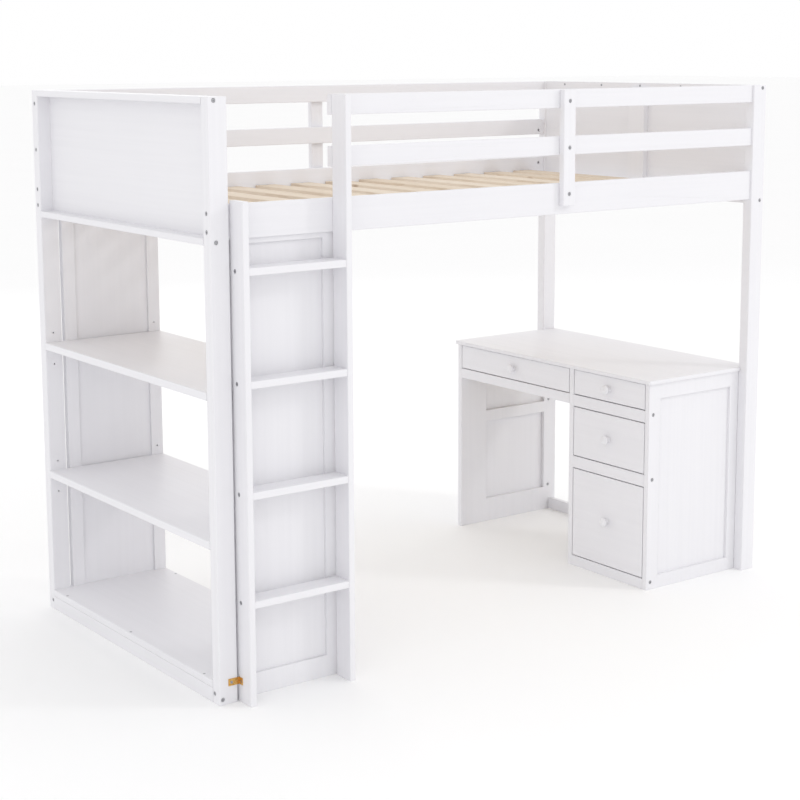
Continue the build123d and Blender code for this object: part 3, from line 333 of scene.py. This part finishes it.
def bare_pine(axis):
    """Planed bare pine: pale boards that differ in tone, growth rings along one axis, and a few knots."""
    shader = Shader(f"bare_pine_{axis}")
    across = {"X": "Z", "Y": "X", "Z": "X"}[axis]
    bands = shader.add("ShaderNodeTexWave", wave_type="BANDS", bands_direction=across, wave_profile="SAW")
    shader.feed_all(bands, {"Vector": shader.mapped(along(axis, PINE_RING_STRETCH))} | PINE_RING_BANDS)
    fibre = shader.noise(shader.mapped(along(axis, PINE_FIBRE)), detail=4, roughness=0.65)
    board = shader.noise(shader.mapped(along(axis, PINE_BOARDS), PINE_BOARDS_MOVED), detail=1)
    light, dark = PINE_RING
    rings = shader.ramp(bands.outputs["Fac"], (0.0, light), (0.72, light), (0.95, dark), (1.0, light))
    wood = shader.mix(PINE_RING_SHARE, shader.tones(board, PINE_BOARD, 0.36, 0.62), rings)
    spots = shader.spots(shader.mapped(along(axis, PINE_KNOTS), PINE_KNOTS_MOVED))
    knots = shader.math("MULTIPLY", shader.level(spots, 0.05, 0.13, 1.0, 0.0), KNOT_SHARE)
    flecks = shader.ramp(fibre, (0.3, PINE_FLECK), (0.6, CLEAR))
    shader.drive(
        Base_Color=shader.mix(FLECK_SHARE, shader.mix(knots, wood, KNOT), flecks, "MULTIPLY"),
        Roughness=shader.level(fibre, *NOISE_MIDDLE, *PINE_ROUGHNESS),
        Specular_IOR_Level=WOOD_SHINE,
        Normal=shader.bump(fibre, PINE_RELIEF),
    )
    return shader.material


def plywood(axis):
    """Bare birch plywood, with broad rotary-cut figure along one axis."""
    shader = Shader(f"drawer_plywood_{axis}")
    figure = shader.noise(shader.mapped(along(axis, PLY_FIGURE)), detail=3, roughness=0.5, distortion=1.6)
    grain = shader.noise(shader.mapped(along(axis, PLY_GRAIN)), detail=4, roughness=0.6)
    flecks = shader.ramp(grain, (0.3, PLY_FLECK), (0.6, CLEAR))
    shader.drive(
        Base_Color=shader.mix(FLECK_SHARE, shader.tones(figure, PLYWOOD), flecks, "MULTIPLY"),
        Roughness=shader.level(grain, *NOISE_MIDDLE, *PLY_ROUGHNESS),
        Specular_IOR_Level=WOOD_SHINE,
        Normal=shader.bump(grain, PLY_RELIEF),
    )
    return shader.material


def plated_steel(name, colours):
    """A plated metal with cloudy patches, fine scratches and brighter rubbed edges."""
    shader = Shader(name)
    cloud = shader.noise(shader.mapped(evenly(STEEL_CLOUDS)), detail=3)
    scratch = shader.noise(shader.mapped(along("Y", STEEL_SCRATCHES)), detail=4, roughness=0.7)
    rounded = shader.softened(STEEL_EDGE_RADIUS)
    rubbed = shader.math("MULTIPLY", shader.edges(rounded), STEEL_RUBBED_SHARE)
    shader.drive(
        Base_Color=shader.mix(rubbed, shader.tones(cloud, colours), STEEL_RUBBED),
        Metallic=1.0,
        Roughness=shader.level(scratch, *NOISE_MIDDLE, *STEEL_ROUGHNESS),
        Normal=shader.bump(scratch, STEEL_RELIEF, rounded),
    )
    return shader.material


painted = {axis: white_paint(axis) for axis in AXES}
pine = {axis: bare_pine(axis) for axis in AXES}
ply = {axis: plywood(axis) for axis in AXES}
zinc = plated_steel("zinc_plate", ZINC)
yellow_zinc = plated_steel("yellow_zinc_plate", YELLOW_ZINC)

FINISHES = {"white_paint": painted, "bare_pine": pine, "drawer_ply": ply}
METALS = {"zinc_steel": zinc, "yellow_zinc": yellow_zinc}

# Nodes of several boards, whose grain doesn't follow the whole node's longest side
GRAIN_OF_GROUPS = {
    "slats": "Y",
    "slat_cleats": "X",
    "drawer_runners": "X",
    "ladder_steps": "X",
    "shelf_end_rails": "Y",
    "pedestal_front_rails": "Y",
}


def longest_axis(node):
    """The axis along which a node is longest, and so along which its board's grain runs."""
    low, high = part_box(node)
    spans = [high[number] - low[number] for number in range(3)]
    return AXES[spans.index(max(spans))]


def finish_of(part):
    """The material of one CAD node."""
    slot = part["material_slot"]
    if slot in METALS:
        return METALS[slot]
    axis = GRAIN_OF_GROUPS.get(part["node"]) or longest_axis(part["node"])
    return FINISHES[slot][axis]


for part in frame["record"]["subparts"]:
    slots = frame["nodes"][part["node"]].data.materials
    slots.clear()
    slots.append(finish_of(part))

# ---------------------------------------------------------------- knobs


def knob_outline(reach, radius):
    """The knob's outline as (distance from the drawer, radius) points: foot, neck, and a rounded head."""
    half = (reach - KNOB_NECK_REACH) / 2
    middle = KNOB_NECK_REACH + half
    points = [
        (0, KNOB_FOOT_RADIUS),
        (KNOB_FOOT_THICKNESS, KNOB_FOOT_RADIUS),
        (KNOB_COVE_REACH, KNOB_NECK_RADIUS + KNOB_COVE_RISE),
        (KNOB_NECK_START, KNOB_NECK_RADIUS),
    ]
    for step in range(KNOB_HEAD_STEPS + 1):
        turn = math.radians(KNOB_HEAD_TURN * (1 - step / KNOB_HEAD_STEPS))
        points.append((middle + half * math.cos(turn), radius * math.sin(turn)))
    return points


def knob_mesh(name, face_x, centre, outline):
    """The outline turned about a line that runs from the drawer's front towards -X."""
    mesh = bmesh.new()
    loops = []
    for out, radius in outline[:-1]:
        loop = []
        for step in range(KNOB_SEGMENTS):
            turn = 2 * math.pi * step / KNOB_SEGMENTS
            y = centre[1] + radius * math.cos(turn)
            z = centre[2] + radius * math.sin(turn)
            loop.append(mesh.verts.new((face_x - out, y, z)))
        loops.append(loop)
    tip = mesh.verts.new((face_x - outline[-1][0], centre[1], centre[2]))
    mesh.faces.new(loops[0])
    for inner, outer in zip(loops, loops[1:]):
        for step in range(KNOB_SEGMENTS):
            after = (step + 1) % KNOB_SEGMENTS
            mesh.faces.new((inner[step], inner[after], outer[after], outer[step]))
    for step in range(KNOB_SEGMENTS):
        mesh.faces.new((loops[-1][step], loops[-1][(step + 1) % KNOB_SEGMENTS], tip))
    bmesh.ops.recalc_face_normals(mesh, faces=mesh.faces)
    for face in mesh.faces:
        face.smooth = len(face.verts) < KNOB_SEGMENTS
    data = bpy.data.meshes.new(name)
    mesh.to_mesh(data)
    mesh.free()
    return data


def make_knob(drawer):
    """A finely turned knob in the place of a drawer's CAD knob."""
    node = f"drawer_{drawer}_knob"
    low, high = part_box(node)
    face_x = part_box(f"drawer_{drawer}_front")[0][0]
    outline = knob_outline(face_x - low[0], (high[2] - low[2]) / 2)
    data = knob_mesh(f"turned_knob_{drawer}", face_x, (low + high) / 2, outline)
    data.materials.append(painted["X"])
    knob = bpy.data.objects.new(f"turned_knob_{drawer}", data)
    bpy.context.scene.collection.objects.link(knob)
    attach(knob, f"drawer_{drawer}")
    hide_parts(node)


for drawer in DRAWERS:
    make_knob(drawer)

# ---------------------------------------------------------------- studio


def floor_material():
    """A pale matt floor with a barely visible cloudiness."""
    shader = Shader("studio_floor")
    cloud = shader.noise(shader.mapped(evenly(FLOOR_CLOUDS)), detail=2)
    darker = tuple(channel - FLOOR_TONE_SHIFT for channel in FLOOR_COLOUR)
    shader.drive(
        Base_Color=shader.tones(cloud, (FLOOR_COLOUR, darker), *NOISE_MIDDLE),
        Roughness=FLOOR_ROUGHNESS,
        Specular_IOR_Level=FLOOR_SHINE,
    )
    return shader.material


bpy.ops.mesh.primitive_grid_add(x_subdivisions=2, y_subdivisions=2, size=FLOOR_SIZE, location=(0, 0, 0))
floor = bpy.context.object
floor.name = "studio_floor"
floor.data.materials.append(floor_material())

bed_middle = (cad_box[0] + cad_box[1]) / 2


def soft_lamp(name, at, size, power):
    """A soft square lamp that faces the middle of the bed."""
    data = bpy.data.lights.new(name, "AREA")
    data.size = size
    data.energy = power
    lamp = bpy.data.objects.new(name, data)
    bpy.context.scene.collection.objects.link(lamp)
    lamp.location = at
    lamp.rotation_mode = "QUATERNION"
    lamp.rotation_quaternion = (bed_middle - Vector(at)).to_track_quat("-Z", "Y")


for name, (at, size, power) in LAMPS.items():
    soft_lamp(name, at, size, power)

world = bpy.data.worlds.new("studio")
bpy.context.scene.world = world
world.use_nodes = True
background = world.node_tree.nodes["Background"]
background.inputs["Color"].default_value = WORLD_COLOUR
background.inputs["Strength"].default_value = WORLD_STRENGTH

bpy.context.scene.view_settings.view_transform = "Standard"

# ---------------------------------------------------------------- camera


def look(yaw, pitch_down, roll):
    """A camera's rotation from its heading clockwise of +Y, its pitch below the horizon and its roll."""
    yaw, pitch_down, roll = (math.radians(angle) for angle in (yaw, pitch_down, roll))
    level = math.cos(pitch_down)
    forward = Vector((math.sin(yaw) * level, math.cos(yaw) * level, -math.sin(pitch_down)))
    side = Vector((math.cos(yaw), -math.sin(yaw), 0))
    up = side.cross(forward)
    rolled_side = math.cos(roll) * side + math.sin(roll) * up
    rolled_up = math.cos(roll) * up - math.sin(roll) * side
    return Matrix((rolled_side, rolled_up, -forward)).transposed().to_quaternion()


camera_data = bpy.data.cameras.new("camera")
camera_data.lens = CAMERA_LENS
camera_data.sensor_width = CAMERA_SENSOR
camera_data.shift_y = -CAMERA_SHIFT_DOWN
camera_data.clip_end = 2 * FLOOR_SIZE
camera = bpy.data.objects.new("camera", camera_data)
bpy.context.scene.collection.objects.link(camera)
camera.location = CAMERA_AT
camera.rotation_mode = "QUATERNION"
camera.rotation_quaternion = look(CAMERA_YAW, CAMERA_PITCH_DOWN, CAMERA_ROLL)
bpy.context.scene.camera = camera
